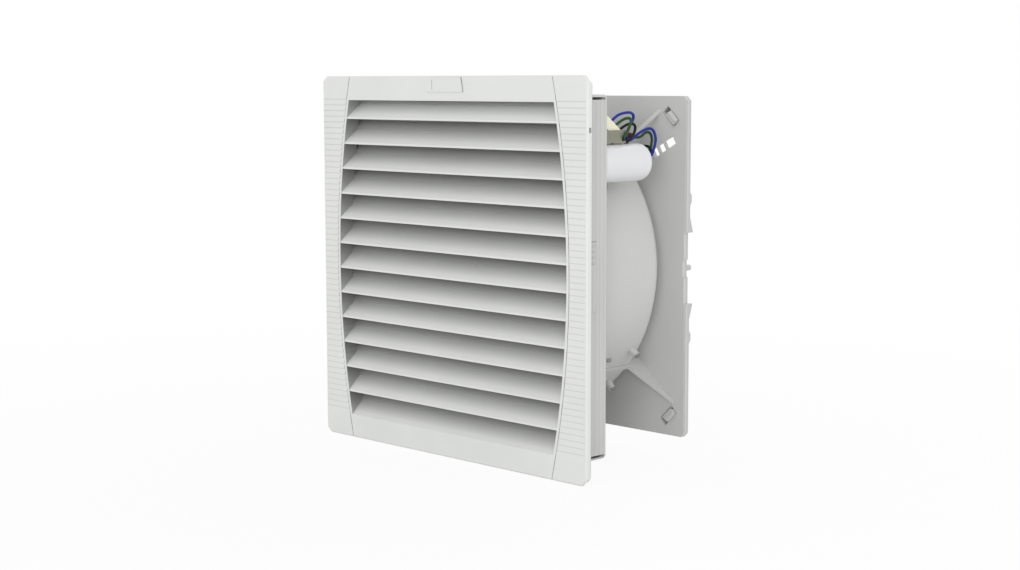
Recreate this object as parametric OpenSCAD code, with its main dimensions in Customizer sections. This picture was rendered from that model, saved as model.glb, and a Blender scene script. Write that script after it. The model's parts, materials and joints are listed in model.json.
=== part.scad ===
// Filter fan for a cabinet wall. The frame's origin is the centre of the cut-out,
// in the plane of the panel: +Y points into the cabinet and +Z up.

/* [Cover] */
// Outer width and height of the front cover
cover_side = 320; // [316:1:330]
// Depth of the cover's rim
cover_depth = 4.6; // [4.4:0.1:5.4]
// Thickness of the cover's front wall
cover_wall = 1.8; // [1.5:0.1:2]
// Thickness of the cover's rim
rim_wall = 1.5; // [1.2:0.1:1.8]
// Cut across each corner of the cover
cover_corner = 6; // [3:0.5:9]
// Bevel round the cover's front edge
cover_bevel = 1.2; // [0.5:0.1:1.5]

/* [Louvre] */
// Height of the plain band above and below the opening
band_h = 20.8; // [20:0.2:24]
// Width of the side panels at mid height, where the curved sides stand furthest apart
side_panel_w = 21.9; // [21:0.1:25]
// Radius of the opening's curved sides
opening_r = 697; // [600:1:900]
// Distance from one louvre blade to the next
blade_pitch = 22; // [20:0.5:26]
// Height of the first gap, above the top blade
first_gap = 16.4; // [12:0.2:20]
// Slope of the blades
blade_angle = 40; // [34:1:44]
// Depth of a blade from front to back
blade_depth = 14.2; // [10:0.2:14.6]
// Thickness of a blade's front lip
blade_lip = 1.7; // [1.2:0.1:2.4]
// Step of the blades behind the cover's front face
blade_step = 0.5; // [0.2:0.1:1]
// Thickness of the wall that the blade ends run into
box_wall = 1.5; // [1:0.1:1.8]
// Distance between the ribs of the side panels
rib_pitch = 5; // [4:0.25:8]
// Depth of a rib's step
rib_depth = 0.5; // [0.3:0.05:0.8]
// Width of the seam beside the opening
seam_w = 0.7; // [0.5:0.1:1]
// Light rim between the opening and the seam
seam_rim = 2.5; // [2:0.1:4]

/* [Mounting frame] */
// Width of the flange round the box that goes through the panel
flange_w = 15; // [14:0.5:16]
// Depth of the box behind the panel
tray_depth = 32.2; // [31:0.2:36]
// Thickness of the box's walls
tray_wall = 2; // [1.6:0.1:2.4]
// Thickness of the box's back wall
tray_back = 2.5; // [2:0.1:3]
// Thickness of the flange
flange_t = 1.4; // [1.2:0.1:1.6]
// Width of the gasket
gasket_w = 5; // [4:0.5:5]
// Thickness of the gasket as it is pressed on the panel
gasket_t = 2; // [1.6:0.1:2]
// How far the gasket stands proud of the flange
gasket_proud = 0.3; // [0.1:0.1:0.5]
// Room between the louvre and the filter mat
mat_room = 3.1; // [2:0.1:8]
// Distance between the bars that the mat leans on
lattice_pitch = 24; // [20:1:40]
// Width of those bars
lattice_bar = 2.4; // [1.6:0.2:4]

/* [Side clips] */
// Height of a side clip
clip_h = 55; // [40:1:60]
// How far a clip's shoulder stands out of the box's side
clip_proud = 3; // [2:0.1:3.4]
// Length of a clip behind the panel
clip_len = 18; // [16:0.5:20]
// How far a clip can be pressed in
clip_travel = 3; // [2:0.1:3]

/* [Fan housing] */
// How far the rear plate's edge lies inside the box's side
plate_inset = 2; // [1:0.5:5]
// Distance from the panel to the front of the rear plate
plate_front = 132.7; // [130:0.1:140]
// Thickness of the rear plate
plate_t = 2.9; // [2.4:0.1:3.4]
// Distance from the air duct to the box's side
duct_gap = 16; // [15:0.5:18]
// How much narrower the duct is where it meets the rear plate
shoulder_drop = 17.5; // [15:0.5:20]
// Thickness of the duct's wall
duct_wall = 3; // [2.4:0.1:3.4]
// Length of the duct's sloping shoulder
shoulder_len = 20; // [16:0.5:22]
// Width of the bead along the edge of each radial rib
rib_t = 3.4; // [2.6:0.1:4]
// How far the ribs reach out from the duct on the rear plate
rib_run = 45.5; // [36:0.5:49]
// Turn of the ribs from the horizontal
rib_turn = 49; // [46:0.5:52]

/* [Rear grille] */
// Thickness of the rear grille's frame
grille_t = 2.5; // [2:0.1:3]
// How much smaller the grille's opening is than the duct at the rear plate
throat_step = 5; // [4:0.5:7.5]
// Distance between the guard rings
ring_pitch = 8.6; // [7.6:0.2:12]
// Width of a guard ring
ring_w = 2.2; // [1.6:0.1:3]
// Depth of the guard rings and spokes
ring_t = 4; // [3:0.2:5]
// Number of spokes
spokes = 12; // [8:1:16]

/* [Rotor] */
// Gap between the impeller's tips and its throat
tip_gap = 2.3; // [2:0.1:6]
// Radius of the impeller's hub
hub_r = 46; // [45:0.5:47]
// Length of the hub
hub_len = 40; // [38:0.5:42]
// Number of impeller blades
fan_blades = 7; // [5:1:8]
// Radius of the shaft
shaft_r = 4; // [3:0.25:4.5]

/* [Terminals] */
// Radius of the capacitor's can
cap_r = 15.2; // [14:0.1:15.3]
// Length of the capacitor's can
cap_len = 56.5; // [54:0.5:59]
// Distance between the terminals
pole_pitch = 6; // [5.6:0.1:6.2]
// Thickness of the bracket's sheet
sheet_t = 1.5; // [1:0.1:1.6]

/* [Hidden] */
$fn = 72;

// Colours
cover_colour = [0.88, 0.89, 0.87];
frame_colour = [0.78, 0.79, 0.78];
housing_colour = [0.72, 0.73, 0.72];
grille_colour = [0.6, 0.61, 0.6];
dark_colour = [0.16, 0.16, 0.17];
metal_colour = [0.7, 0.7, 0.72];
mat_colour = [0.93, 0.93, 0.9];
white_colour = [0.93, 0.93, 0.93];
copper_colour = [0.72, 0.4, 0.2];
sheet_colour = [0.62, 0.62, 0.56];
cream_colour = [0.95, 0.93, 0.84];
blue_colour = [0.13, 0.2, 0.75];
green_colour = [0.25, 0.55, 0.2];
sleeve_colour = [0.35, 0.14, 0.12];

// General fits: gap between a fixed piece and its seat, a running fit, a moving gap
fit_gap = 0.1;
run_gap = 0.05;
move_gap = 0.3;
// Overrun of every cut
over = 1;

// Front cover
cover_half = cover_side / 2;
flange_front = -gasket_proud - flange_t;
cover_front = flange_front - cover_depth;
opening_top = cover_half - band_h;
opening_half = cover_half - side_panel_w;
box_back = cover_front + blade_step + blade_depth;
blade_front = cover_front + blade_step;
blade_rise = blade_depth * tan(blade_angle);
blade_count = floor((2 * opening_top - first_gap) / blade_pitch) + 1;
rib_count = floor(2 * opening_top / rib_pitch) + 1;
rib_edge = 2;
notch_h = 4;
notch_drop = 42;
notch_z = cover_half - notch_drop;
tongue_w = 24;
tongue_t = 1.2;
tongue_x = 70;
tongue_len = 9;

// Hinge along the cover's bottom edge
hinge_depth = 2.9;
hinge_y = cover_front + hinge_depth;
hinge_drop = 3.3;
hinge_z = hinge_drop - cover_half;
knuckle_r = 1.6;
pin_r = 0.8;
knuckle_w = 8;
knuckle_web = 2.2;
lug_w = 5;
hinge_inset = 50;
hinge_x = cover_half - hinge_inset;
pin_len = knuckle_w + 2 * lug_w + 2 * move_gap;
lug_places = [for (s = [-1, 1]) for (t = [-1, 1])
    s * hinge_x + t * (knuckle_w + lug_w + 2 * move_gap) / 2];

// Badge tab: half widths at its top and foot
badge_top_half = 19.5;
badge_foot_half = 22;
badge_h = 12.2;
badge_proud = 0.9;
badge_seat = 0.4;
badge_field_half = 15.5;
badge_field_h = 8.4;
badge_top = cover_half - cover_bevel;

// Mounting frame
tray_half = cover_half - flange_w;
tray_in = tray_half - tray_wall;
flange_inset = 0.8;
flange_half = cover_half - flange_inset;
flange_drop = 3.8;
tray_corner = 2.5;
channel_wall = 1.2;
gasket_reach = 8.8;
gasket_out = tray_half + gasket_reach;
gasket_in = gasket_out - gasket_w;
lug_top = -gasket_out - move_gap;
channel_front = -gasket_t - channel_wall;
slot_h = 2;
slot_start = 1.7;
slot_end_gap = 1.5;
duct_r = tray_half - duct_gap;
mouth_r = duct_r - duct_wall;
lattice_t = 3.7;

// Side clips
clip_z = 2.5;
clip_front = 2;
clip_back = clip_front + clip_len;
clip_rear_proud = 0.9;
clip_lip = 1.2;
clip_lip_w = 2;
clip_lip_y = 10.5;
tooth_pitch = 4.5;
tooth_gap = 2;
tooth_depth = 1.6;
teeth = 4;
guide_gap = 0.3;

// Filter mat, clear of the pressed clips
mat_gap = 0.5;
mat_half = tray_in - guide_gap - clip_lip - clip_travel - mat_gap;
mat_back = tray_depth - lattice_t;
mat_front = box_back + mat_room;

// Fan housing
plate_half = tray_half - plate_inset;
throat_r = duct_r - shoulder_drop;
plate_back = plate_front + plate_t;
plate_corner = 3.8;
plate_step_w = 1;
plate_step_t = 0.8;
shoulder_y = plate_front - shoulder_len;
shoulder_r = 10;
rib_proud = 2;
rib_web = 1.6;
rib_bead = 1.8;
rib_reach = duct_r + rib_run;
rib_angles = [for (k = [0:3]) rib_turn + 90 * k];
grip_half = 30;
grip_depth = 2;
grip_mid_half = 7.3;
grip_mid_depth = 3.2;
boss_r = 3.1;
boss_len = 7;
boss_top = duct_r + boss_len;
boss_spread = 8.8;
boss_inset = 9;
boss_row_gap = 35;
boss_rows = [shoulder_y - boss_inset, shoulder_y - boss_inset - boss_row_gap];
hook_inset = 17;
hook_place = plate_half - hook_inset;
hook_hole_w = 17;
hook_hole_h = 8;
slot_a = [plate_half, plate_half] - [36, 48.5];
slot_b = [plate_half, plate_half] - [13.5, 36];
cable_slot_w = 7.5;
bar_w = 1.6;
slot_bars_share = [0.26, 0.57];
window_grow = 1.2;
ear_r = 5;
ear_t = 3;
ear_reach = 4.5;
ear_place = duct_r + ear_reach;
ears = 8;
ear_angles = [for (k = [0:ears - 1]) (k + 0.5) * 360 / ears];
frame_screw_r = 1.5;
frame_head_r = 2.8;
frame_head_t = 1.8;

// Inlet ring
ring_gap = 0.3;
inlet_out = mouth_r - ring_gap;
inlet_skirt = 2.5;
inlet_len = 50;
inlet_inset = 2;
inlet_back = shoulder_y - inlet_inset;
inlet_front = inlet_back - inlet_len;
grille_r = throat_r - throat_step;
inlet_throat = grille_r;
inlet_t = 2.2;
throat_inset = 9;
inlet_end = plate_front - throat_inset;
bell_r = 14;
inlet_screw_r = 1.3;
inlet_head_r = 2.5;
inlet_head_t = 1.5;
inlet_slot_w = 0.6;

// Rear grille
grille_back = plate_back + grille_t;
guard_back = plate_back + ring_t;
motor_plate_r = hub_r - 1;
rings = floor((grille_r - motor_plate_r) / ring_pitch);
spoke_w = 3;
bump_len = 11;
bump_proud = 2;
bump_z = 58;
bump_w = 7;
wedge_from = 43;
wedge_to = 30;
wedge_proud = 4;
peg_r = 2.5;
peg_proud = 6;
hook_w = 10.5;
hook_t = 4.4;
hook_out = 3.4;
hook_shift = 2.8;
hook_proud = 4.4;
hook_barb = 1.4;
hook_barb_h = 2.2;
rail_t = 1;
cup_wall = 1.2;
cup_deep = 2;

// Motor and rotor, along the axis of the shaft
motor_r = motor_plate_r - 2;
motor_plate_t = 3.7;
motor_front = plate_back - motor_plate_t;
tube_out = 13.3;
tube_len = 40;
tube_front = plate_front - tube_len;
bearing_out = 11;
bearing_w = 7;
bearing_ring = 2;
bearing_step = 0.5;
bearing_seat = 1.5;
bearing_gap = 22;
bearing_rear_y = tube_front + bearing_w + bearing_gap;
core_inset = 5;
core_len = 20;
core_front = tube_front + core_inset;
core_back = core_front + core_len;
core_slots = 12;
core_slot_w = 5;
core_yoke_share = 0.33;
core_rim = 2.5;
winding_h = 6;
air_gap = 0.6;
hub_wall = 3.3;
hub_face = 3;
can_out = hub_r - hub_wall - fit_gap;
can_wall = 1.5;
rotor_ring_t = 4.5;
core_r = can_out - can_wall - rotor_ring_t - air_gap;
core_slot_out = core_r - core_rim;
core_slot_in = tube_out + core_yoke_share * (core_slot_out - tube_out);
can_gap = 4;
can_len = 36;
can_front = tube_front - can_gap;
can_back = can_front + can_len;
hub_front = can_front - hub_face;
hub_back = hub_front + hub_len;
shaft_inset = 2.6;
shaft_back = plate_back - shaft_inset;
clip_ring_t = 1;
clip_ring_r = 6.5;
clip_groove = 0.3;
motor_screw_inset = 12;
motor_screw_place = hub_r - motor_screw_inset;
motor_screw_r = 2;
motor_head_r = 3.6;
motor_head_t = 2.4;
bolts = 4;

// Impeller blades: sections from the hub to the tip
impeller_r = grille_r - tip_gap;
blade_sections = 9;
blade_steps = 8;
root_sink = 1.2;
root_r = hub_r - root_sink;
root_chord = 46;
tip_chord = 70;
root_pitch_angle = 50;
tip_pitch_angle = 27;
blade_sweep = 20;
blade_camber = 0.07;
blade_t = 2.6;
blade_edge_t = 1;
blade_mid_y = hub_front + hub_len / 2;

// Capacitor and bracket
cap_reach = 28.3;
cap_turn = 34.9;
cap_x = (duct_r + cap_reach) * cos(cap_turn);
cap_z = (duct_r + cap_reach) * sin(cap_turn);
cap_front = tray_depth + sheet_t;
cap_back = cap_front + cap_len;
cap_round = 4;
cap_step = 0.5;
stud_r = 4;
stud_len = 4.9;
nut_r = 7.5;
nut_t = 1;
cap_room = 2;
shelf_room = 2.3;
web_drop = 7;
web_x = cap_x - cap_r - cap_room;
shelf_top = cap_z + cap_r + shelf_room;
web_foot = cap_z - cap_r - web_drop;
bracket_len = 36;
bracket_back = tray_depth + bracket_len;
lip_shift = 2.5;
lip_rise = 26.4;
lip_x = cap_x + lip_shift;
lip_top = cap_z + lip_rise;
notch_len = 4.8;
notch_rise = 4.4;
window_from = 26.5;
window_len = 5.2;
tab_w = 12;
tab_low = 6.5;
tab_high = 13.5;
tab_rise = 6.5;
bracket_screw_r = 1.9;
bracket_head_r = 3.2;
bracket_head_t = 2;
bracket_screw_x = web_x - tab_w / 2;
bracket_screw_z = [shelf_top - tab_low + tab_rise / 2, shelf_top + tab_high - tab_rise];

// Terminal block, tilted about the X axis
block_away = 17;
block_rise = 37.1;
block_y = tray_depth + block_away;
block_z = cap_z + block_rise;
block_tilt = 36.5;
block_w = 14;
block_t = 9.5;
poles = 4;
first_pole = 2;
block_shift = 0.4;
block_start = first_pole - pole_pitch / 2 - block_shift;
block_len = poles * pole_pitch;
block_x = lip_x - block_w;
groove_w = 0.5;
groove_t = 0.8;
entry_r = 1.8;
entry_depth = 5;
entry_x = 10;
driver_x = 4;
driver_r = 1.5;
driver_depth = 3;
tongue_from = 3;
tongue_to = 16;

// Wires: radius, sides, steps between two points, and the points that they follow, all
// measured from the foot of the capacitor's axis on the box
wire_base = [cap_x, tray_depth, cap_z];
wire_r = 1.15;
wire_sides = 8;
wire_steps = 2;
lead_r = 2.6;
blue_route = [[-1.5, 21.1, 29.1], [-1.5, 23.9, 33], [-1.4, 31.9, 37.9], [-1, 39, 39.8],
              [-0.8, 46.4, 40.1], [-1, 50.4, 38.2], [-1.8, 51.5, 35.2], [-3, 50.7, 31.6],
              [-4.4, 48.6, 26.9], [-5.6, 47.3, 21.4], [-6.4, 49.8, 17.8], [-6.2, 53.9, 18],
              [-5.6, 59.4, 21.3], [-5, 64.9, 24.1], [-4.2, 70.2, 26.1], [-3, 73.8, 26.7],
              [-1.6, 76.2, 24.9], [-0.2, 76.9, 21.3], [1, 76.3, 17.3], [2, 74.2, 13.3],
              [2.8, 71.5, 9.3], [2.8, 69.4, 5.6], [2.6, 65.3, 4], [2.6, 61.6, 3.8],
              [2.6, 58.1, 3.8]];
green_route = [[-1.5, 25.9, 25.6], [-1.5, 28.7, 29.4], [-1.2, 37, 34], [-0.2, 42.4, 35.6],
               [1.4, 44.9, 34.8], [3, 43.1, 32.1], [4.4, 39.6, 28.3], [5.4, 36.1, 24.6],
               [5.8, 32.5, 21.3], [4.4, 33.2, 20], [2, 33.8, 19], [-2, 34, 18.8]];
black_route = [[-1.5, 30.7, 22], [-1.5, 33.5, 25.8], [-1.3, 41.4, 29.8], [-1, 46.7, 31.1],
               [-0.6, 50.6, 30.6], [-0.2, 52.2, 28], [0.6, 50.1, 24], [1.6, 45.5, 20],
               [2, 41, 17.1], [-1.2, 41.4, 16.9], [-5.7, 45.8, 15.8], [-9.7, 52.8, 14.2],
               [-11.5, 59.8, 12], [-10.8, 66.2, 11.2], [-8, 71.4, 12.2], [-3.6, 72.3, 12],
               [-0.8, 72.2, 9.5], [0, 69.8, 5.2], [-0.4, 66, 1.8], [-0.6, 61.8, 0.2],
               [-0.6, 58.1, 0.2]];
earth_route = [[-10.2, 57.9, 20.2], [-8.6, 60, 19.6], [-8.2, 67.4, 19.9], [-7.4, 71.7, 22.6],
               [-6.2, 75, 23.7], [-5, 77.2, 21.6], [-4.8, 78.4, 17.6], [-5.2, 78.2, 13.4],
               [-5.6, 77.3, 9.7], [-5.6, 71, 6.4], [-5.1, 67, 4.6], [-4.3, 62.4, 4.2],
               [-4.3, 58.1, 4.2]];
// Motor lead: radius, place along Y from the rear plate, and turn; then points from the base again
lead_start = [[core_slot_out - 4.4, -7.1, 58.5], [core_slot_out - 1.2, -4.6, 58.5],
              [hub_r - 4.7, -3.7, 58.5], [hub_r + 18.7, -3.7, 58.3], [hub_r + 37.5, -3.7, 58.2]];
lead_wall = [[-26.4, -3.9, 58.2], [-19, -4.3, 58.1], [-12, -5.3, 57.8], [-5, -8.5, 57.2],
             [0.7, -14.1, 56.1], [5.2, -21.9, 54.5]];
lead_end = [[-41, 71.2, 20], [-31, 65.4, 20], [-23, 61, 19.6], [-17, 58.4, 19.6]];
sleeve_from = [-18.6, 59, 19.6];
sleeve_to = [-10.8, 58, 20.2];
sleeve_r = 3.4;
lead_hole_r = 3.8;
lead_hole_from = [-22.4, -3.8, 58.2];
lead_hole_to = [-8.3, -6, 57.6];

// Puts an outline in X and Z between two places along Y
module along_y(from, to) {
    translate([0, to, 0]) rotate([90, 0, 0]) linear_extrude(to - from) children();
}

// Puts an outline in Y and Z between two places along X
module along_x(from, to) {
    translate([from, 0, 0]) rotate([90, 0, 90]) linear_extrude(to - from) children();
}

// Turns an outline in radius and Y round the Y axis
module about_y() {
    rotate([-90, 0, 0]) rotate_extrude() children();
}

// A round bar along Y
module bar_y(r, from, to, x = 0, z = 0) {
    translate([x, to, z]) rotate([90, 0, 0]) cylinder(h = to - from, r = r);
}

// A round bar along X
module bar_x(r, from, to, y = 0, z = 0) {
    translate([from, y, z]) rotate([0, 90, 0]) cylinder(h = to - from, r = r);
}

// A round bar between two points
module bar_between(r, from, to) {
    run = to - from;
    translate(from) rotate([0, acos(run[2] / norm(run)), atan2(run[1], run[0])])
        cylinder(h = norm(run), r = r);
}

// A square with its corners cut across
module cut_square(half, cut) {
    polygon([[-half + cut, -half], [half - cut, -half], [half, -half + cut], [half, half - cut],
             [half - cut, half], [-half + cut, half], [-half, half - cut], [-half, -half + cut]]);
}

// A square ring
module square_ring(out, in) {
    difference() {
        square(2 * out, center = true);
        square(2 * in, center = true);
    }
}

// A block with cut corners whose front edge is beveled
module beveled_block(half, cut, from, to, bevel) {
    side = [[to, -half], [from + bevel, -half], [from, -half + bevel],
            [from, half - bevel], [from + bevel, half], [to, half]];
    intersection() {
        along_y(from, to) cut_square(half, cut);
        along_x(-half, half) polygon(side);
        translate([0, 0, -half]) linear_extrude(2 * half) polygon([for (p = side) [p[1], p[0]]]);
    }
}

// A field with curved sides beside the opening's, grown by a margin
module curved_field(grow, height) {
    place = opening_r - opening_half;
    intersection() {
        translate([-place, 0]) circle(opening_r + grow, $fn = 360);
        translate([place, 0]) circle(opening_r + grow, $fn = 360);
        square([2 * (opening_half + grow), height], center = true);
    }
}

// The louvred opening's outline, grown by a margin all round
module opening_outline(grow = 0) {
    curved_field(grow, 2 * (opening_top + grow));
}

// The middle field of the cover, between the two seams, grown by a margin
module middle_field(grow) {
    curved_field(grow, cover_side + 2 * over);
}

// One sloping louvre blade, given the height of its front lip's foot
module louvre_blade(z) {
    along_x(-opening_half - box_wall, opening_half + box_wall)
        polygon([[blade_front, z], [blade_front, z + blade_lip],
                 [box_back, z + blade_lip + blade_rise], [box_back, z + blade_rise]]);
}

// Steps cut into the side panels, like laid shingles
module shingle_cut() {
    foot = -opening_top - rib_depth;
    teeth_line = [for (k = [0:rib_count - 1]) each [[cover_front, foot + k * rib_pitch],
                  [cover_front + rib_depth, foot + (k + 1) * rib_pitch]]];
    top = foot + rib_count * rib_pitch;
    along_x(-cover_half + rib_edge, cover_half - rib_edge)
        polygon(concat([[cover_front - over, foot]], teeth_line, [[cover_front - over, top]]));
}

module front_cover() {
    color(cover_colour) {
        difference() {
            union() {
                difference() {
                    beveled_block(cover_half, cover_corner, cover_front, flange_front, cover_bevel);
                    along_y(cover_front + cover_wall, flange_front + over)
                        cut_square(cover_half - rim_wall, cover_corner - rim_wall / 2);
                }
                along_y(cover_front + cover_wall / 2, box_back) difference() {
                    opening_outline(box_wall);
                    opening_outline(0);
                }
            }
            along_y(cover_front - over, cover_front + cover_wall + over) opening_outline(0);
            // ribs and seams
            difference() {
                shingle_cut();
                along_y(cover_front - 2 * over, cover_front + over) middle_field(seam_rim + seam_w / 2);
            }
            along_y(cover_front - over, cover_front + rib_depth) difference() {
                middle_field(seam_rim + seam_w);
                middle_field(seam_rim);
            }
            // seat of the badge
            along_y(cover_front - over, cover_front + badge_seat) badge_outline(fit_gap);
            // clearance of the hinge: behind and below its axis
            translate([-cover_half - over, hinge_y, -cover_half - over])
                cube([cover_side + 2 * over, cover_depth + over, hinge_z + cover_half + over]);
            for (x = lug_places)
                bar_x(knuckle_r + move_gap, x - lug_w / 2 - move_gap, x + lug_w / 2 + move_gap,
                      hinge_y, hinge_z);
            // notches in the side rims, for a screwdriver
            for (s = [-1, 1])
                translate([s * cover_half - rim_wall - over, cover_front + cover_wall,
                           notch_z - notch_h / 2])
                    cube([2 * (rim_wall + over), cover_depth, notch_h]);
        }
        intersection() {
            along_y(cover_front, box_back + over) opening_outline(box_wall / 2);
            union() {
                for (k = [0:blade_count - 1]) louvre_blade(opening_top - first_gap - k * blade_pitch);
                louvre_blade(-opening_top - blade_lip);
            }
        }
        // knuckles of the hinge
        for (s = [-1, 1]) difference() {
            union() {
                bar_x(knuckle_r, s * hinge_x - knuckle_w / 2, s * hinge_x + knuckle_w / 2,
                      hinge_y, hinge_z);
                translate([s * hinge_x - knuckle_w / 2, cover_front + cover_wall / 2,
                           hinge_z - knuckle_r / 2])
                    cube([knuckle_w, hinge_depth - cover_wall / 2 - pin_r, knuckle_web]);
            }
            bar_x(pin_r + run_gap, s * hinge_x - knuckle_w, s * hinge_x + knuckle_w, hinge_y, hinge_z);
        }
        // tongues that snap under the box's top wall
        for (s = [-1, 1])
            translate([s * tongue_x - tongue_w / 2, cover_front + cover_wall / 2,
                       opening_top + box_wall / 2])
                cube([tongue_w, tongue_len, tongue_t + box_wall / 2]);
    }
}

// Outline of the badge, grown by a margin
module badge_outline(grow) {
    foot = badge_top - badge_h - grow;
    polygon([[-badge_foot_half - grow, foot], [badge_foot_half + grow, foot],
             [badge_top_half + grow, badge_top + grow], [-badge_top_half - grow, badge_top + grow]]);
}

module badge_plate() {
    color(cover_colour) difference() {
        along_y(cover_front - badge_proud, cover_front + badge_seat) badge_outline(0);
        along_y(cover_front - badge_proud - over, cover_front - badge_proud + badge_seat)
            translate([-badge_field_half, badge_top - badge_h / 2 - badge_field_h / 2])
                square([2 * badge_field_half, badge_field_h]);
    }
}

// The bars behind the filter mat, cut to the mouth of the duct
module lattice_outline() {
    n = ceil(mouth_r / lattice_pitch);
    intersection() {
        circle(mouth_r + over, $fn = 120);
        union() for (k = [-n:n]) {
            translate([k * lattice_pitch - lattice_bar / 2, -mouth_r - over])
                square([lattice_bar, 2 * (mouth_r + over)]);
            translate([-mouth_r - over, k * lattice_pitch - lattice_bar / 2])
                square([2 * (mouth_r + over), lattice_bar]);
        }
    }
}

module mounting_frame() {
    back_inside = tray_depth - tray_back;
    color(frame_colour) {
        difference() {
            union() {
                // flange and its gasket channel
                along_y(flange_front, -gasket_proud) cut_square(flange_half, cover_corner);
                along_y(channel_front, flange_front + flange_t / 2)
                    square_ring(gasket_out + channel_wall, tray_in);
                // box
                along_y(flange_front, tray_depth) cut_square(tray_half, tray_corner);
            }
            along_y(channel_front - over, back_inside) square(2 * tray_in, center = true);
            along_y(-gasket_t, over) difference() {
                square_ring(gasket_out + fit_gap, gasket_in - fit_gap);
                square(2 * tray_half, center = true);
            }
            along_y(back_inside - over, tray_depth + over) circle(mouth_r, $fn = 120);
            // the flange stops short at the cover's hinge
            translate([-cover_half, flange_front - over, -cover_half - over])
                cube([cover_side, flange_t + 2 * over, flange_drop + over]);
            // slots in the side walls, under the top wall and over the bottom wall
            for (s = [-1, 1]) for (t = [-1, 1])
                translate([s * tray_half - tray_wall - over, slot_start,
                           t * (tray_in - slot_h / 2) - slot_h / 2])
                    cube([2 * (tray_wall + over), tray_depth - slot_start - slot_end_gap, slot_h]);
            // windows of the side clips
            for (s = [-1, 1])
                translate([s * tray_half - tray_wall - over, clip_front - guide_gap,
                           clip_z - clip_h / 2 - guide_gap])
                    cube([2 * (tray_wall + over), clip_len + 2 * guide_gap, clip_h + 2 * guide_gap]);
            for (a = ear_angles) rotate([0, -a, 0])
                bar_y(frame_screw_r + fit_gap, back_inside - over, tray_depth + over, ear_place);
            for (z = bracket_screw_z)
                bar_y(bracket_screw_r + fit_gap, back_inside - over, tray_depth + over, bracket_screw_x, z);
            bar_y(stud_r + fit_gap, back_inside - over, tray_depth + over, cap_x, cap_z);
        }
        along_y(tray_depth - lattice_t, tray_depth) lattice_outline();
        hinge_lugs();
    }
}

// Lugs on the flange that hold the hinge pins
module hinge_lugs() {
    for (x = lug_places) difference() {
        union() {
            bar_x(knuckle_r, x - lug_w / 2, x + lug_w / 2, hinge_y, hinge_z);
            translate([x - lug_w / 2, hinge_y, hinge_z])
                cube([lug_w, flange_front + flange_t / 2 - hinge_y, lug_top - hinge_z]);
        }
        bar_x(pin_r, x - lug_w, x + lug_w, hinge_y, hinge_z);
    }
}

module hinge_pins() {
    color(metal_colour) for (s = [-1, 1])
        bar_x(pin_r, s * hinge_x - pin_len / 2, s * hinge_x + pin_len / 2, hinge_y, hinge_z);
}

module panel_gasket() {
    color(dark_colour) along_y(-gasket_t, 0) square_ring(gasket_out, gasket_in);
}

module filter_mat() {
    color(mat_colour) along_y(mat_front, mat_back) cut_square(mat_half, tray_corner);
}

// A side clip: a sprung wedge that locks behind the panel's edge
module side_clip() {
    proud = tray_half + clip_proud;
    foot = clip_z - clip_h / 2;
    head = clip_z + clip_h / 2;
    color(frame_colour) {
        difference() {
            translate([0, 0, foot]) linear_extrude(clip_h)
                polygon([[tray_in, clip_front], [proud, clip_front], [proud, clip_front + clip_lip],
                         [tray_half + clip_rear_proud, clip_back], [tray_in, clip_back]]);
            for (k = [0:teeth - 1])
                translate([tray_half + clip_proud - tooth_depth - clip_rear_proud, clip_front - over,
                           head - tooth_gap - k * tooth_pitch - tooth_gap])
                    cube([tooth_depth + clip_proud, clip_len + 2 * over, tooth_gap]);
        }
        translate([tray_in - guide_gap - clip_lip, clip_lip_y, foot - clip_lip_w])
            cube([clip_lip, clip_back - clip_lip_y, clip_h + 2 * clip_lip_w]);
        translate([tray_in - guide_gap - clip_lip / 2, clip_lip_y, foot])
            cube([clip_lip, clip_back - clip_lip_y, clip_h]);
    }
}

module clip_right() {
    side_clip();
}

module clip_left() {
    mirror([1, 0, 0]) side_clip();
}

// Outline of the rear plate and of the grille behind it, with the grips in its sides
module plate_outline() {
    difference() {
        cut_square(plate_half, plate_corner);
        for (s = [-1, 1]) {
            translate([s * plate_half - grip_depth, -grip_half]) square([2 * grip_depth, 2 * grip_half]);
            translate([s * plate_half - grip_mid_depth, -grip_mid_half])
                square([2 * grip_mid_depth, 2 * grip_mid_half]);
        }
    }
}

// The long opening for cables, grown by a margin
module cable_window(grow) {
    run = slot_b - slot_a;
    translate(slot_a) rotate(atan2(run[1], run[0]))
        translate([-grow, -cable_slot_w / 2 - grow])
            square([norm(run) + 2 * grow, cable_slot_w + 2 * grow]);
}

// The bars that part the opening into three
module cable_bars() {
    run = slot_b - slot_a;
    translate(slot_a) rotate(atan2(run[1], run[0]))
        for (share = slot_bars_share)
            translate([share * norm(run) - bar_w / 2, -cable_slot_w / 2 - over])
                square([bar_w, cable_slot_w + 2 * over]);
}

// The four openings near the corners, square to the diagonals
module hook_holes() {
    for (k = [0:3]) rotate(90 * k) translate([hook_place, hook_place]) rotate(-45)
        square([hook_hole_w, hook_hole_h], center = true);
}

// Inner or outer side of the duct, as points in radius and Y, with a rounded shoulder
function duct_line(out) = let (
    r = duct_r - (out ? 0 : duct_wall),
    e = throat_r - (out ? 0 : duct_wall),
    slope = atan2(r - e, shoulder_len),
    bend = shoulder_r - (out ? 0 : duct_wall),
    back = bend * tan(slope / 2),
    n = 4)
    concat([for (k = [0:n]) [r - bend + bend * cos(slope * k / n),
                             shoulder_y - back + bend * sin(slope * k / n)]],
           [[e, plate_front + plate_t / 2]]);

module duct_shell() {
    about_y() polygon(concat([[duct_r, tray_depth]], duct_line(true),
                             [for (k = [len(duct_line(false)) - 1:-1:0]) duct_line(false)[k]],
                             [[mouth_r, tray_depth]]));
}

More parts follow.
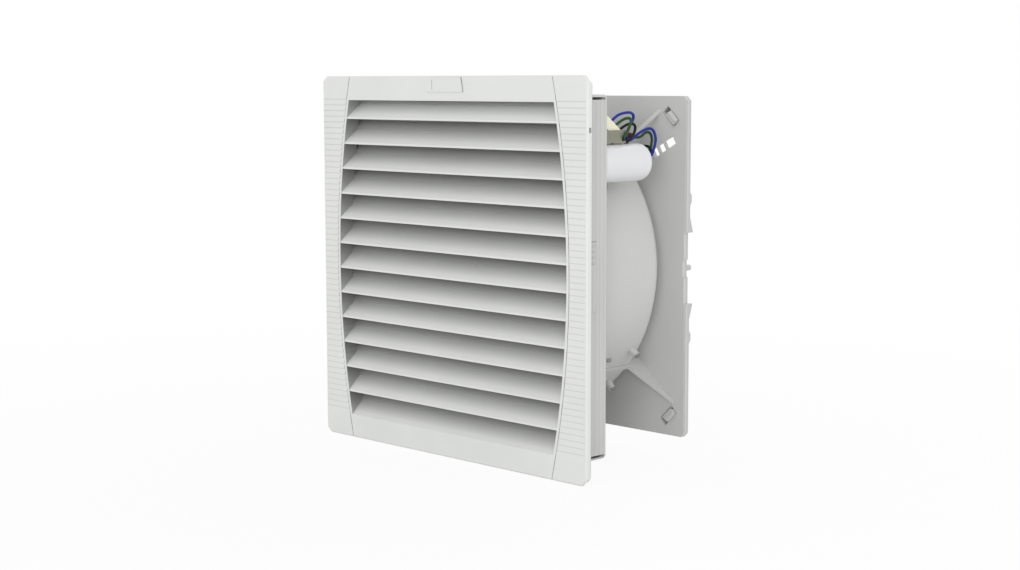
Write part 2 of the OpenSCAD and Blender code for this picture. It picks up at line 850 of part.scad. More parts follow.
// A rib: a thin web with a bead along its outer edge
module radial_rib(angle) {
    edge = duct_r + rib_proud;
    slope = atan2(shoulder_len, rib_reach - edge);
    foot = plate_front + plate_t / 2;
    rotate([0, -angle, 0]) {
        translate([0, 0, -rib_web / 2]) linear_extrude(rib_web)
            polygon([[duct_r - duct_wall / 2, tray_depth], [edge - rib_bead / 2, tray_depth],
                     [edge - rib_bead / 2, shoulder_y + rib_bead / 2],
                     [rib_reach - rib_bead, plate_front], [rib_reach - rib_bead, foot],
                     [throat_r, foot], [throat_r, plate_front - duct_wall / 2],
                     [duct_r - duct_wall / 2, shoulder_y - duct_wall / 2]]);
        translate([0, 0, -rib_t / 2]) linear_extrude(rib_t)
            polygon([[edge - rib_bead, tray_depth], [edge, tray_depth], [edge, shoulder_y],
                     [rib_reach, plate_front], [rib_reach, foot],
                     [rib_reach - rib_bead / sin(slope), foot],
                     [rib_reach - rib_bead / sin(slope), plate_front],
                     [edge - rib_bead, shoulder_y + rib_bead * (1 - sin(slope)) / cos(slope)]]);
    }
}

// Places of the screws that go through the duct's side, beside each rib
module at_bosses() {
    for (a = rib_angles) for (s = [-1, 1]) for (y = boss_rows)
        rotate([0, -a - s * boss_spread, 0]) translate([0, y, 0]) children();
}

module fan_housing() {
    color(housing_colour) difference() {
        union() {
            beveled_plate();
            duct_shell();
            for (a = rib_angles) radial_rib(a);
            at_bosses() bar_x(boss_r, duct_r - duct_wall / 2, boss_top);
            for (a = ear_angles) rotate([0, -a, 0]) {
                bar_y(ear_r, tray_depth, tray_depth + ear_t, ear_place);
                translate([duct_r - duct_wall / 2, tray_depth, -ear_r])
                    cube([ear_place - duct_r + duct_wall / 2, ear_t, 2 * ear_r]);
            }
        }
        bar_y(throat_r - duct_wall, plate_front - over, plate_back + over, $fn = 120);
        at_bosses() bar_x(inlet_screw_r + fit_gap, duct_r - 2 * duct_wall, boss_top + over);
        for (a = ear_angles) rotate([0, -a, 0])
            bar_y(frame_screw_r + fit_gap, tray_depth - over, tray_depth + ear_t + over, ear_place);
        bar_between(lead_hole_r, wall_point(lead_hole_from), wall_point(lead_hole_to));
    }
}

module beveled_plate() {
    difference() {
        along_y(plate_front, plate_back) plate_outline();
        // a shallow step round the front of the plate's edge
        along_y(plate_front - over, plate_front + plate_step_t)
            square_ring(plate_half + over, plate_half - plate_step_w);
        along_y(plate_front - over, plate_back + over) hook_holes();
        along_y(plate_front - over, plate_back + over) difference() {
            cable_window(0);
            cable_bars();
        }
    }
}

module frame_screws() {
    head = tray_depth + ear_t;
    color(metal_colour) for (a = ear_angles) rotate([0, -a, 0]) {
        bar_y(frame_screw_r, tray_depth - tray_back, head + frame_head_t / 2, ear_place);
        bar_y(frame_head_r, head, head + frame_head_t, ear_place);
    }
}

module inlet_ring() {
    // a bell mouth in front, a skirt against the duct, and the impeller's throat
    turn = 90;
    n = 6;
    mid = [inlet_throat + bell_r, inlet_front + bell_r];
    lip = inlet_out - inlet_skirt;
    color(grille_colour) difference() {
        about_y() polygon(concat(
            [[inlet_out, inlet_front], [inlet_out, inlet_back], [lip, inlet_back],
             [lip, inlet_front + inlet_t]],
            [for (k = [0:n]) let (a = turn * k / n)
                [mid[0] - (bell_r - inlet_t) * sin(a), mid[1] - (bell_r - inlet_t) * cos(a)]],
            [[inlet_throat + inlet_t, inlet_end], [inlet_throat, inlet_end]],
            [for (k = [n:-1:0]) let (a = turn * k / n)
                [mid[0] - bell_r * sin(a), mid[1] - bell_r * cos(a)]]));
        at_bosses() bar_x(inlet_screw_r + fit_gap, lip - over, inlet_out + over);
    }
}

module inlet_screws() {
    color(metal_colour) at_bosses() {
        bar_x(inlet_screw_r, inlet_out - inlet_skirt, boss_top + inlet_head_t / 2);
        difference() {
            bar_x(inlet_head_r, boss_top, boss_top + inlet_head_t);
            translate([boss_top + inlet_head_t / 2, -inlet_head_r - over, -inlet_slot_w / 2])
                cube([inlet_head_t, 2 * (inlet_head_r + over), inlet_slot_w]);
        }
    }
}

// Rear grille: a frame, the guard over the fan, hooks and stops
module rear_grille() {
    color(grille_colour) {
        difference() {
            union() {
                along_y(plate_back, grille_back) difference() {
                    plate_outline();
                    circle(grille_r, $fn = 120);
                    cable_window(window_grow);
                    hook_holes();
                }
                along_y(plate_back, guard_back) difference() {
                    circle(grille_r + spoke_w, $fn = 120);
                    circle(grille_r, $fn = 120);
                }
                for (k = [1:rings])
                    about_y() translate([motor_plate_r + k * ring_pitch - ring_w, plate_back])
                        square([ring_w, ring_t]);
                for (k = [0:spokes - 1]) rotate([0, -360 * k / spokes, 0])
                    translate([motor_plate_r - over, plate_back, -spoke_w / 2])
                        cube([grille_r - motor_plate_r + 2 * over, ring_t, spoke_w]);
                bar_y(motor_plate_r, plate_back, guard_back);
                edge_stops();
            }
            for (k = [0:bolts - 1]) rotate([0, -45 - 90 * k, 0])
                bar_y(motor_screw_r + fit_gap, plate_back - over, guard_back + over, motor_screw_place);
        }
        for (k = [0:3]) rotate([0, -45 - 90 * k, 0]) snap_hook(k % 2 == 0 ? -1 : 1);
    }
}

// Low bumps, wedges and a peg along the two side edges, on the grille's back
module edge_stops() {
    for (s = [-1, 1]) {
        for (t = [-1, 1]) {
            along_x(s > 0 ? plate_half - bump_w : -plate_half, s > 0 ? plate_half : bump_w - plate_half)
                polygon([[grille_back - over, t * bump_z - bump_len / 2],
                         [grille_back, t * bump_z - bump_len / 2],
                         [grille_back + bump_proud, t * bump_z - bump_len / 4],
                         [grille_back + bump_proud, t * bump_z + bump_len / 4],
                         [grille_back, t * bump_z + bump_len / 2],
                         [grille_back - over, t * bump_z + bump_len / 2]]);
            along_x(s > 0 ? plate_half - bump_w : -plate_half, s > 0 ? plate_half : bump_w - plate_half)
                polygon([[grille_back - over, t * wedge_from], [grille_back, t * wedge_from],
                         [grille_back + wedge_proud, t * wedge_to], [grille_back - over, t * wedge_to]]);
        }
        bar_y(peg_r, grille_back - over, grille_back + peg_proud,
              s * (plate_half - grip_mid_depth - peg_r), 0);
    }
}

// A hook that goes through the rear plate, drawn on the +X side of a diagonal turned level
// and set aside along the hole, with a rail beside it and a cup behind
module snap_hook(side) {
    place = hook_place * sqrt(2);
    root = place + hook_out - hook_t;
    face = place + hook_out;
    tip = plate_front - hook_proud;
    floor_y = grille_back + cup_deep;
    hole_w = hook_hole_w / 2 + cup_wall;
    hole_h = hook_hole_h / 2 + cup_wall;
    translate([0, 0, side * hook_shift - hook_w / 2]) linear_extrude(hook_w)
        polygon([[root, floor_y], [root, tip], [face - hook_barb / 2, tip],
                 [face + hook_barb, tip + hook_barb_h], [face + hook_barb / 3, plate_front - move_gap],
                 [face, plate_front - move_gap], [face, floor_y]]);
    translate([place - hook_hole_h / 2 + rail_t / 2, plate_front, fit_gap - hook_hole_w / 2])
        cube([rail_t, floor_y - plate_front, hook_hole_w - 2 * fit_gap]);
    difference() {
        translate([place - hole_h, grille_back - over, -hole_w])
            cube([2 * hole_h, cup_deep + over + cup_wall, 2 * hole_w]);
        translate([place - hook_hole_h / 2, grille_back - 2 * over, -hook_hole_w / 2])
            cube([hook_hole_h, cup_deep + 2 * over, hook_hole_w]);
    }
}

module motor_flange() {
    color(metal_colour) difference() {
        union() {
            bar_y(motor_r, motor_front, plate_back);
            bar_y(tube_out, tube_front, motor_front + over);
        }
        bar_y(bearing_out, tube_front - over, tube_front + bearing_w);
        bar_y(bearing_out - bearing_seat, tube_front, bearing_rear_y + over);
        bar_y(bearing_out, bearing_rear_y, shaft_back + move_gap);
        for (k = [0:bolts - 1]) rotate([0, -45 - 90 * k, 0])
            bar_y(motor_screw_r + run_gap, motor_front - over, plate_back + over, motor_screw_place);
    }
}

module motor_screws() {
    color(metal_colour) for (k = [0:bolts - 1]) rotate([0, -45 - 90 * k, 0]) difference() {
        union() {
            bar_y(motor_screw_r, motor_front, guard_back + motor_head_t / 2, motor_screw_place);
            bar_y(motor_head_r, guard_back, guard_back + motor_head_t, motor_screw_place);
        }
        bar_y(motor_screw_r, guard_back + motor_head_t / 2, guard_back + motor_head_t + over,
              motor_screw_place, $fn = 6);
    }
}

// A sealed ball bearing, with the step between its rings and its shield
module bearing(y) {
    color(metal_colour) about_y() translate([0, y]) difference() {
        translate([shaft_r + run_gap, 0]) square([bearing_out - shaft_r - run_gap, bearing_w]);
        for (v = [-over, bearing_w - bearing_step])
            translate([shaft_r + bearing_ring, v])
                square([bearing_out - shaft_r - 2 * bearing_ring, over + bearing_step]);
    }
}

module bearing_front() {
    bearing(tube_front);
}

module bearing_rear() {
    bearing(bearing_rear_y);
}

module stator_core() {
    color(dark_colour) difference() {
        bar_y(core_r, core_front, core_back);
        bar_y(tube_out, core_front - over, core_back + over);
        for (k = [0:core_slots - 1]) rotate([0, 360 * k / core_slots, 0])
            translate([core_slot_in, core_front - over, -core_slot_w / 2])
                cube([core_slot_out - core_slot_in, core_back - core_front + 2 * over, core_slot_w]);
    }
}

module stator_windings() {
    inner = core_slot_in + fit_gap;
    outer = core_slot_out - fit_gap;
    color(copper_colour) {
        for (y = [core_front - winding_h, core_back])
            about_y() translate([inner, y]) square([outer - inner, winding_h]);
        for (k = [0:core_slots - 1]) rotate([0, 360 * k / core_slots, 0])
            translate([inner, core_front - over, -core_slot_w / 2 + fit_gap])
                cube([outer - inner, core_back - core_front + 2 * over, core_slot_w - 2 * fit_gap]);
    }
}

module rotor_shaft() {
    color(metal_colour) difference() {
        bar_y(shaft_r, can_front, shaft_back);
        about_y() translate([shaft_r - clip_groove, bearing_rear_y + bearing_w + move_gap])
            square([over, clip_ring_t + run_gap]);
    }
}

module circlip() {
    y = bearing_rear_y + bearing_w + move_gap;
    color(dark_colour) difference() {
        bar_y(clip_ring_r, y, y + clip_ring_t);
        bar_y(shaft_r - clip_groove, y - over, y + clip_ring_t + over);
        translate([0, y - over, -shaft_r / 2]) cube([clip_ring_r + over, clip_ring_t + 2 * over, shaft_r]);
    }
}

module rotor_can() {
    color(metal_colour) difference() {
        bar_y(can_out, can_front, can_back, $fn = 96);
        bar_y(can_out - can_wall, can_front + can_wall, can_back + over, $fn = 96);
        bar_y(shaft_r, can_front - over, can_front + can_wall + over);
    }
}

module rotor_core() {
    color(dark_colour) about_y() translate([core_r + air_gap, core_front])
        square([can_out - can_wall - core_r - air_gap, core_back - core_front]);
}

// One point of a blade's section: share of the span, share of the chord, and side of the blade
function blade_point(span, chord, side) = let (
    r = root_r + (impeller_r - root_r) * span,
    width = root_chord + (tip_chord - root_chord) * span,
    pitch = root_pitch_angle + (tip_pitch_angle - root_pitch_angle) * span,
    u = (chord - 0.5) * width,
    bow = blade_camber * width * (1 - pow(2 * chord - 1, 2)),
    half_t = (blade_edge_t + (blade_t - blade_edge_t) * (1 - pow(2 * chord - 1, 2))) / 2,
    v = bow + side * half_t,
    run = u * cos(pitch) - v * sin(pitch),
    rise = u * sin(pitch) + v * cos(pitch),
    a = blade_sweep * span * span + run / r * 180 / PI)
    [r * cos(a), blade_mid_y + rise, r * sin(a)];

// A twisted, swept blade
module impeller_blade() {
    ring = 2 * (blade_steps + 1);
    points = [for (i = [0:blade_sections - 1]) let (s = i / (blade_sections - 1)) each concat(
        [for (j = [0:blade_steps]) blade_point(s, j / blade_steps, 1)],
        [for (j = [blade_steps:-1:0]) blade_point(s, j / blade_steps, -1)])];
    skin = [for (i = [0:blade_sections - 2]) for (j = [0:ring - 1]) let (
        a = i * ring + j,
        b = i * ring + (j + 1) % ring) each [[a, a + ring, b], [b, a + ring, b + ring]]];
    last = (blade_sections - 1) * ring;
    foot = [for (j = [0:blade_steps - 1]) each [[j, j + 1, ring - 1 - j],
                                               [j + 1, ring - 2 - j, ring - 1 - j]]];
    tip = [for (f = foot) [last + f[0], last + f[2], last + f[1]]];
    polyhedron(points, concat(skin, foot, tip));
}

module impeller() {
    color(grille_colour) {
        difference() {
            bar_y(hub_r, hub_front, hub_back, $fn = 96);
            bar_y(can_out + fit_gap, can_front, hub_back + over, $fn = 96);
        }
        difference() {
            for (k = [0:fan_blades - 1]) rotate([0, 360 * k / fan_blades, 0]) impeller_blade();
            bar_y(can_out + fit_gap, can_front - over, hub_back + over, $fn = 96);
        }
    }
}

module capacitor() {
    color(white_colour) translate([cap_x, 0, cap_z]) {
        about_y() polygon(concat([[0, cap_front], [cap_r - cap_step, cap_front], [cap_r, cap_front + over]],
            [for (k = [0:5]) [cap_r - cap_round + cap_round * cos(18 * k),
                              cap_back - cap_round + cap_round * sin(18 * k)]],
            [[0, cap_back]]));
        bar_y(stud_r, cap_front - stud_len, cap_front + over);
    }
}

// A thin nut inside the box
module capacitor_nut() {
    end = tray_depth - tray_back;
    color(metal_colour) difference() {
        bar_y(nut_r, end - nut_t, end, cap_x, cap_z, $fn = 6);
        bar_y(stud_r + fit_gap, end - nut_t - over, end + over, cap_x, cap_z);
    }
}

module equipment_bracket() {
    reach = lip_x + sheet_t;
    deep = bracket_back - tray_depth;
    color(sheet_colour) {
        // web beside the capacitor and shelf over it
        translate([web_x, tray_depth, web_foot]) cube([sheet_t, deep, shelf_top - web_foot]);
        difference() {
            translate([web_x, tray_depth, shelf_top - sheet_t]) cube([reach - web_x, deep, sheet_t]);
            // room for the terminal block's lower corner
            translate([block_x - fit_gap, tray_depth + window_from, shelf_top - sheet_t - over])
                cube([block_w + fit_gap, window_len, sheet_t + 2 * over]);
        }
        // upright lip, notched at its foot for the wires
        difference() {
            translate([lip_x, tray_depth, shelf_top - sheet_t])
                cube([sheet_t, deep, lip_top - shelf_top + sheet_t]);
            translate([lip_x - over, bracket_back - notch_len, shelf_top])
                cube([sheet_t + 2 * over, notch_len + over, notch_rise]);
        }
        // end plate on the box, with a tab for the screws
        difference() {
            union() {
                translate([web_x, tray_depth, web_foot])
                    cube([reach - web_x, sheet_t, shelf_top - web_foot]);
                translate([web_x - tab_w, tray_depth, shelf_top - tab_low])
                    cube([tab_w + sheet_t, sheet_t, tab_low + tab_high]);
            }
            bar_y(stud_r + fit_gap, tray_depth - over, cap_front + over, cap_x, cap_z);
            for (z = bracket_screw_z)
                bar_y(bracket_screw_r + fit_gap, tray_depth - over, cap_front + over, bracket_screw_x, z);
        }
        // tongue under the terminal block
        at_block() translate([0, tongue_from, -block_t - sheet_t])
            cube([block_w + sheet_t, tongue_to - tongue_from, sheet_t]);
    }
}

module bracket_screws() {
    head = tray_depth + sheet_t;
    color(metal_colour) for (z = bracket_screw_z) {
        bar_y(bracket_screw_r, tray_depth - tray_back, head + bracket_head_t / 2, bracket_screw_x, z);
        bar_y(bracket_head_r, head, head + bracket_head_t, bracket_screw_x, z);
    }
}

// Places a piece in the terminal block's tilted frame, on the upper edge of its face
module at_block() {
    translate([block_x, block_y, block_z]) rotate([-block_tilt, 0, 0]) children();
}

module terminal_block() {
    color(cream_colour) at_block() difference() {
        translate([0, block_start, -block_t]) cube([block_w, block_len, block_t]);
        for (k = [0:poles - 1]) translate([0, first_pole + k * pole_pitch, 0]) {
            translate([entry_x, 0, -entry_depth]) cylinder(h = entry_depth + over, r = entry_r);
            translate([driver_x, 0, -driver_depth]) cylinder(h = driver_depth + over, r = driver_r);
        }
        for (k = [1:poles - 1])
            translate([-over, block_start + k * pole_pitch - groove_w / 2, -groove_t])
                cube([block_w + 2 * over, groove_w, groove_t + over]);
    }
}

module terminal_screws() {
    color(metal_colour) at_block() for (k = [0:poles - 1])
        translate([driver_x, first_pole + k * pole_pitch, -driver_depth]) difference() {
            cylinder(h = driver_depth / 2, r = driver_r - fit_gap);
            translate([-driver_r, -groove_w / 2, driver_depth / 4])
                cube([2 * driver_r, groove_w, driver_depth]);
        }
}

// A point from its radius, its place along Y from the rear plate, and its turn
function turned_point(p) = [p[0] * cos(p[2]), plate_front + p[1], p[0] * sin(p[2])];

// The same, with its radius measured from the duct's
function wall_point(p) = turned_point(p + [duct_r, 0, 0]);

function from_base(route) = [for (p = route) wire_base + p];

// A smooth run through a route's points
function run_point(p, i, t) = let (
    n = len(p) - 1,
    a = p[max(i - 1, 0)],
    b = p[i],
    c = p[i + 1],
    d = p[min(i + 2, n)])
    b + 0.5 * t * ((c - a) + t * ((2 * a - 5 * b + 4 * c - d) + t * (3 * b - a - 3 * c + d)));

function smooth_run(p, steps) = concat(
    [for (i = [0:len(p) - 2]) for (k = [0:steps - 1]) run_point(p, i, k / steps)], [p[len(p) - 1]]);

function unit(v) = v / norm(v);

// Side directions carried along a run without twist
function side_dirs(p) = let (
    n = len(p),
    t = [for (i = [0:n - 1]) unit(p[min(i + 1, n - 1)] - p[max(i - 1, 0)])],
    first = unit(cross(t[0], abs(t[0][2]) < 0.8 ? [0, 0, 1] : [1, 0, 0])))
    [for (i = 0, s = first; i < n;
          i = i + 1, s = i < n ? unit(s - (s * t[i]) * t[i]) : s) [s, cross(t[i], s)]];

// A round tube along a route
module tube(route, r, steps) {
    p = smooth_run(route, steps);
    frames = side_dirs(p);
    n = len(p);
    m = wire_sides;
    points = [for (i = [0:n - 1]) for (k = [0:m - 1])
        p[i] + r * (cos(360 * k / m) * frames[i][0] + sin(360 * k / m) * frames[i][1])];
    skin = [for (i = [0:n - 2]) for (k = [0:m - 1]) let (
        a = i * m + k,
        b = i * m + (k + 1) % m) each [[a, a + m, b], [b, a + m, b + m]]];
    polyhedron(points, concat(skin, [[for (k = [0:m - 1]) k]],
                              [[for (k = [m - 1:-1:0]) (n - 1) * m + k]]));
}

module wire_blue() {
    color(blue_colour) tube(from_base(blue_route), wire_r, wire_steps);
}

module wire_green() {
    color(green_colour) tube(from_base(green_route), wire_r, wire_steps);
}

module wire_black() {
    color(dark_colour) tube(from_base(black_route), wire_r, wire_steps);
}

module wire_earth() {
    color(green_colour) tube(from_base(earth_route), wire_r, wire_steps);
}

module motor_lead() {
    route = concat([for (p = lead_start) turned_point(p)], [for (p = lead_wall) wall_point(p)],
                   from_base(lead_end));
    color(dark_colour) tube(route, lead_r, 1);
}

module lead_sleeve() {
    middle = (sleeve_from + sleeve_to) / 2;
    color(sleeve_colour) translate(wire_base) difference() {
        bar_between(sleeve_r, sleeve_from, sleeve_to);
        bar_between(lead_r + run_gap, 2 * sleeve_from - middle, middle);
    }
}

front_cover();
badge_plate();
mounting_frame();
panel_gasket();
filter_mat();
hinge_pins();
clip_left();
clip_right();
fan_housing();
frame_screws();
inlet_ring();
inlet_screws();
rear_grille();
motor_flange();
motor_screws();
bearing_front();
bearing_rear();
stator_core();
stator_windings();
rotor_shaft();
rotor_can();
rotor_core();
circlip();
impeller();
capacitor();
capacitor_nut();
equipment_bracket();
bracket_screws();
terminal_block();
terminal_screws();
wire_blue();
wire_green();
wire_black();
wire_earth();
motor_lead();
lead_sleeve();
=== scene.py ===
"""Looks of a cabinet filter fan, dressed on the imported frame. Lengths are in metres."""

import json
import math

import bmesh
import bpy
from mathutils import Matrix, Vector, noise


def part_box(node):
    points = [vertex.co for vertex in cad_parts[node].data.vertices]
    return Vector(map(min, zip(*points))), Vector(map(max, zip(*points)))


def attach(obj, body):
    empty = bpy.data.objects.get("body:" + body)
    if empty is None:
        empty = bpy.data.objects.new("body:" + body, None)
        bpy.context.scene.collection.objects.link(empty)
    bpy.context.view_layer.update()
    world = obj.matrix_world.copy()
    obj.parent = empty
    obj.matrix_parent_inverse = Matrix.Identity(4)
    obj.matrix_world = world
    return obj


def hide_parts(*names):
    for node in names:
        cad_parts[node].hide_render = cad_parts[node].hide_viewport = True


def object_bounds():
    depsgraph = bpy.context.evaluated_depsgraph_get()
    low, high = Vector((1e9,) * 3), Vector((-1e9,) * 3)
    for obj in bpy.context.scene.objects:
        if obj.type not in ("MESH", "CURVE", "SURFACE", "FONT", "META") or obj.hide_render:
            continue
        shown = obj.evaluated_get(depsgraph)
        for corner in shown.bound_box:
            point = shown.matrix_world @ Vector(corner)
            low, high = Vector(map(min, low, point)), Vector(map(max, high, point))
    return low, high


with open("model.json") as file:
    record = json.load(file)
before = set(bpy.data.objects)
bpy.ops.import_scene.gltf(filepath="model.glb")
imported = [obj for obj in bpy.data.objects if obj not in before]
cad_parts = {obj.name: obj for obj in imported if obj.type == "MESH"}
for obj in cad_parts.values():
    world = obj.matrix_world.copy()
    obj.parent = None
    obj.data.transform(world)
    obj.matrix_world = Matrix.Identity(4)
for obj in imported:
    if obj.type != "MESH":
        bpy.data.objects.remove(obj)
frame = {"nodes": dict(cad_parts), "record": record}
cad_box = [list(corner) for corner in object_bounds()]
nodes = frame["nodes"]

MM = 0.001

# Camera, fitted to the cover's corners and the box edges in the photograph
CAMERA_PLACE = Vector((1.07572, -1.00008, 0.15616))
CAMERA_AZIMUTH = math.radians(45.179)
CAMERA_ELEVATION = math.radians(6.618)
CAMERA_ROLL = math.radians(-0.091)
CAMERA_LENS = 62.28
CAMERA_SENSOR = 36


def linear(red, green, blue):
    """A colour as it shows on a screen, 0 to 255, as the light values that shaders take."""
    def channel(value):
        share = value / 255
        return share / 12.92 if share <= 0.04045 else ((share + 0.055) / 1.055) ** 2.4
    return (channel(red), channel(green), channel(blue), 1.0)


# Cover's louvre and shingled side panels; their sizes repeat those in the part's source
BAND_HEIGHT = 20.8 * MM
PANEL_WIDTH = 21.9 * MM
OPENING_HALF_HEIGHT = cad_box[1][2] - BAND_HEIGHT
OPENING_HALF_WIDTH = cad_box[1][0] - PANEL_WIDTH
OPENING_CURVE = 697 * MM
OPENING_CENTRE = OPENING_CURVE - OPENING_HALF_WIDTH
LOUVRE_PITCH = 22 * MM
FIRST_GAP = 16.4 * MM
LIP_FOOT = OPENING_HALF_HEIGHT - FIRST_GAP
BLADE_COUNT = 12
SHINGLE_PITCH = 5 * MM
SHINGLE_DEPTH = 0.5 * MM
SHINGLE_FOOT = -OPENING_HALF_HEIGHT - SHINGLE_DEPTH
SHINGLE_SLOPE = math.sin(math.atan2(SHINGLE_DEPTH, SHINGLE_PITCH))
# Height of the band of painted shade just under each shingle step, standing in for the step's shadow
SHINGLE_SHADE_BAND = 0.9 * MM

# Fins behind the blades, from a blade's rear edge to just before the mat. The heights of
# their edges are measured from the blade's front foot.
FIN_CLEARANCE = 0.5 * MM
FIN_STOP = OPENING_HALF_HEIGHT - FIN_CLEARANCE
FIN_FOOT = Vector((0, 8.2, 13.3)) * MM
FIN_TOP = Vector((0, 10.9, 20.6)) * MM
FIN_THICKNESS = 0.9 * MM
FIN_SLOPE = (FIN_TOP.y - FIN_FOOT.y) / (FIN_TOP - FIN_FOOT).length
SLOPE_ROOM = 0.03

# Painted shade of the louvre, standing in for the shadow deep in its gaps: where it starts
#  and how far it runs, as shares of a pitch; the room past the opening's edges in which a face
#  still counts as the louvre's; and, for each kind of face, its slope and how dark the painted shade gets
OPENING_ROOM = 0.5 * MM
WALL_ROOM = 3.9 * MM
SHADE_START_SHARE = 0.2
SHADE_RUN_SHARE = 0.74
BLADE_SLOPE = 0.56
BLADE_SLOPE_ROOM = 0.28
SIDEWAYS = 0.9
WALL_BASE_SHARE = 0.65
# How dark the painted shade under the shingle steps gets
SHINGLE_SHADE = 0.88
BLADE_SHADE = 0.3
FIN_SHADE = 0.72
WALL_SHADE = 0.25

# Faint lines on the box's sides
LINE_PITCH = 4.8 * MM
LINE_WIDTH = 0.9 * MM
LINE_SHADE = 0.9

# Relief and gloss
PLASTIC_GRAIN = 0.012 * MM
LAMINATION_RELIEF = 0.1 * MM
WAVE_PER_SCALE = 20
SPECULAR = 0.3
CLOUD_LOW = 0.3
CLOUD_HIGH = 0.7

# Wires
WIRE_RADIUS = 1.15 * MM
LEAD_RADIUS = 2.6 * MM
TUBE_SIDES = 20
RUN_STEPS = 8
FLAT_ENOUGH = 0.8

# Filter mat
MAT_CELLS = 96
MAT_ROUND = 4 * MM
MAT_SAG = 1.1 * MM
MAT_INSET = 0.2 * MM
MAT_WAVE_SCALE = 28
MAT_FINE_SCALE = 420
MAT_WAVE_SHARE = 0.6
MAT_FACE_STEP = 7

# Setting
WORLD_STRENGTH = 0.78
FLOOR_COLOUR = (0.82, 0.83, 0.83, 1)
FLOOR_ROUGHNESS = 0.8
FLOOR_REACH = 30
FLOOR_GAP = 0.5 * MM
FLOOR_WHITE_NEAR = 0.25
FLOOR_WHITE_FAR = 1.1
FLOOR_WHITE_LEAST = 0.93
LAMPS = {
    "key": {"place": (1.4, -1.85, 0.45), "target": (0.05, 0.05, 0), "size": 1.0, "power": 10.4},
    "side": {"place": (1.9, 0.3, 0.7), "target": (0, 0.06, 0), "size": 1.2, "power": 2.4},
    "back": {"place": (-0.6, 1.8, 1.1), "target": (0, 0.1, 0), "size": 1.2, "power": 5},
}


# Materials

def new_material(name):
    material = bpy.data.materials.new(name)
    material.use_nodes = True
    return material, material.node_tree, material.node_tree.nodes["Principled BSDF"]


def object_noise(tree, scale, detail, stretch=(1, 1, 1)):
    """Noise that stays with the piece, with its scale per metre."""
    place = tree.nodes.new("ShaderNodeTexCoord")
    mapping = tree.nodes.new("ShaderNodeMapping")
    mapping.inputs["Scale"].default_value = stretch
    texture = tree.nodes.new("ShaderNodeTexNoise")
    texture.inputs["Scale"].default_value = scale
    texture.inputs["Detail"].default_value = detail
    tree.links.new(place.outputs["Object"], mapping.inputs["Vector"])
    tree.links.new(mapping.outputs["Vector"], texture.inputs["Vector"])
    return texture.outputs["Fac"]


def vary_colour(tree, shader, colour, amount, fac):
    """Shifts the colour a little darker and lighter with the noise."""
    ramp = tree.nodes.new("ShaderNodeValToRGB")
    dark = [channel * (1 - amount) for channel in colour[:3]] + [1]
    light = [min(1, channel * (1 + amount)) for channel in colour[:3]] + [1]
    ramp.color_ramp.elements[0].position = CLOUD_LOW
    ramp.color_ramp.elements[0].color = dark
    ramp.color_ramp.elements[1].position = CLOUD_HIGH
    ramp.color_ramp.elements[1].color = light
    tree.links.new(fac, ramp.inputs["Fac"])
    tree.links.new(ramp.outputs["Color"], shader.inputs["Base Color"])


def add_bump(tree, shader, fac, distance):
    bump = tree.nodes.new("ShaderNodeBump")
    bump.inputs["Distance"].default_value = distance
    bump.inputs["Strength"].default_value = 1.0
    tree.links.new(fac, bump.inputs["Height"])
    tree.links.new(bump.outputs["Normal"], shader.inputs["Normal"])


def surface(name, colour, roughness, grain=0.0, grain_scale=1500, metal=0.0, variation=0.02,
            cloud_scale=14, stretch=(1, 1, 1)):
    """A procedural finish: a soft cloud in the colour and a fine grain in the relief."""
    material, tree, shader = new_material(name)
    shader.inputs["Roughness"].default_value = roughness
    shader.inputs["Metallic"].default_value = metal
    shader.inputs["Specular IOR Level"].default_value = SPECULAR
    vary_colour(tree, shader, colour, variation, object_noise(tree, cloud_scale, 3))
    if grain:
        add_bump(tree, shader, object_noise(tree, grain_scale, 4, stretch), grain)
    return material


def calculate(tree, operation, *values):
    """A Math node of numbers and sockets; gives its result."""
    node = tree.nodes.new("ShaderNodeMath")
    node.operation = operation
    for socket, value in zip(node.inputs, values):
        if hasattr(value, "links"):
            tree.links.new(value, socket)
        else:
            socket.default_value = value
    return node.outputs[0]


def darken(tree, shader, amount, least):
    """Multiplies the base colour by a share that falls to the least one with the amount."""
    shade = tree.nodes.new("ShaderNodeMix")
    shade.data_type = "RGBA"
    shade.blend_type = "MULTIPLY"
    shade.inputs["B"].default_value = (least, least, least, 1)
    tree.links.new(amount, shade.inputs["Factor"])
    source = shader.inputs["Base Color"].links[0].from_socket
    tree.links.new(source, shade.inputs["A"])
    tree.links.new(shade.outputs["Result"], shader.inputs["Base Color"])


def lie_of_surface(tree):
    """Where a point lies on the piece and how the surface faces there."""
    source = tree.nodes.new("ShaderNodeTexCoord")
    found = []
    for output in ("Object", "Normal"):
        parts = tree.nodes.new("ShaderNodeSeparateXYZ")
        tree.links.new(source.outputs[output], parts.inputs[0])
        found.append(parts.outputs)
    return found


def lined(name, colour, roughness, grain):
    """Moulded plastic with faint upright lines along the sides of the box."""
    material = surface(name, colour, roughness, grain)
    tree = material.node_tree
    place, facing = lie_of_surface(tree)
    run = calculate(tree, "DIVIDE", place["Y"], LINE_PITCH)
    line = calculate(tree, "LESS_THAN", calculate(tree, "FRACT", run), LINE_WIDTH / LINE_PITCH)
    sideways = calculate(tree, "GREATER_THAN", calculate(tree, "ABSOLUTE", facing["X"]), SIDEWAYS)
    amount = calculate(tree, "MULTIPLY", line, sideways)
    darken(tree, tree.nodes["Principled BSDF"], amount, LINE_SHADE)
    return material


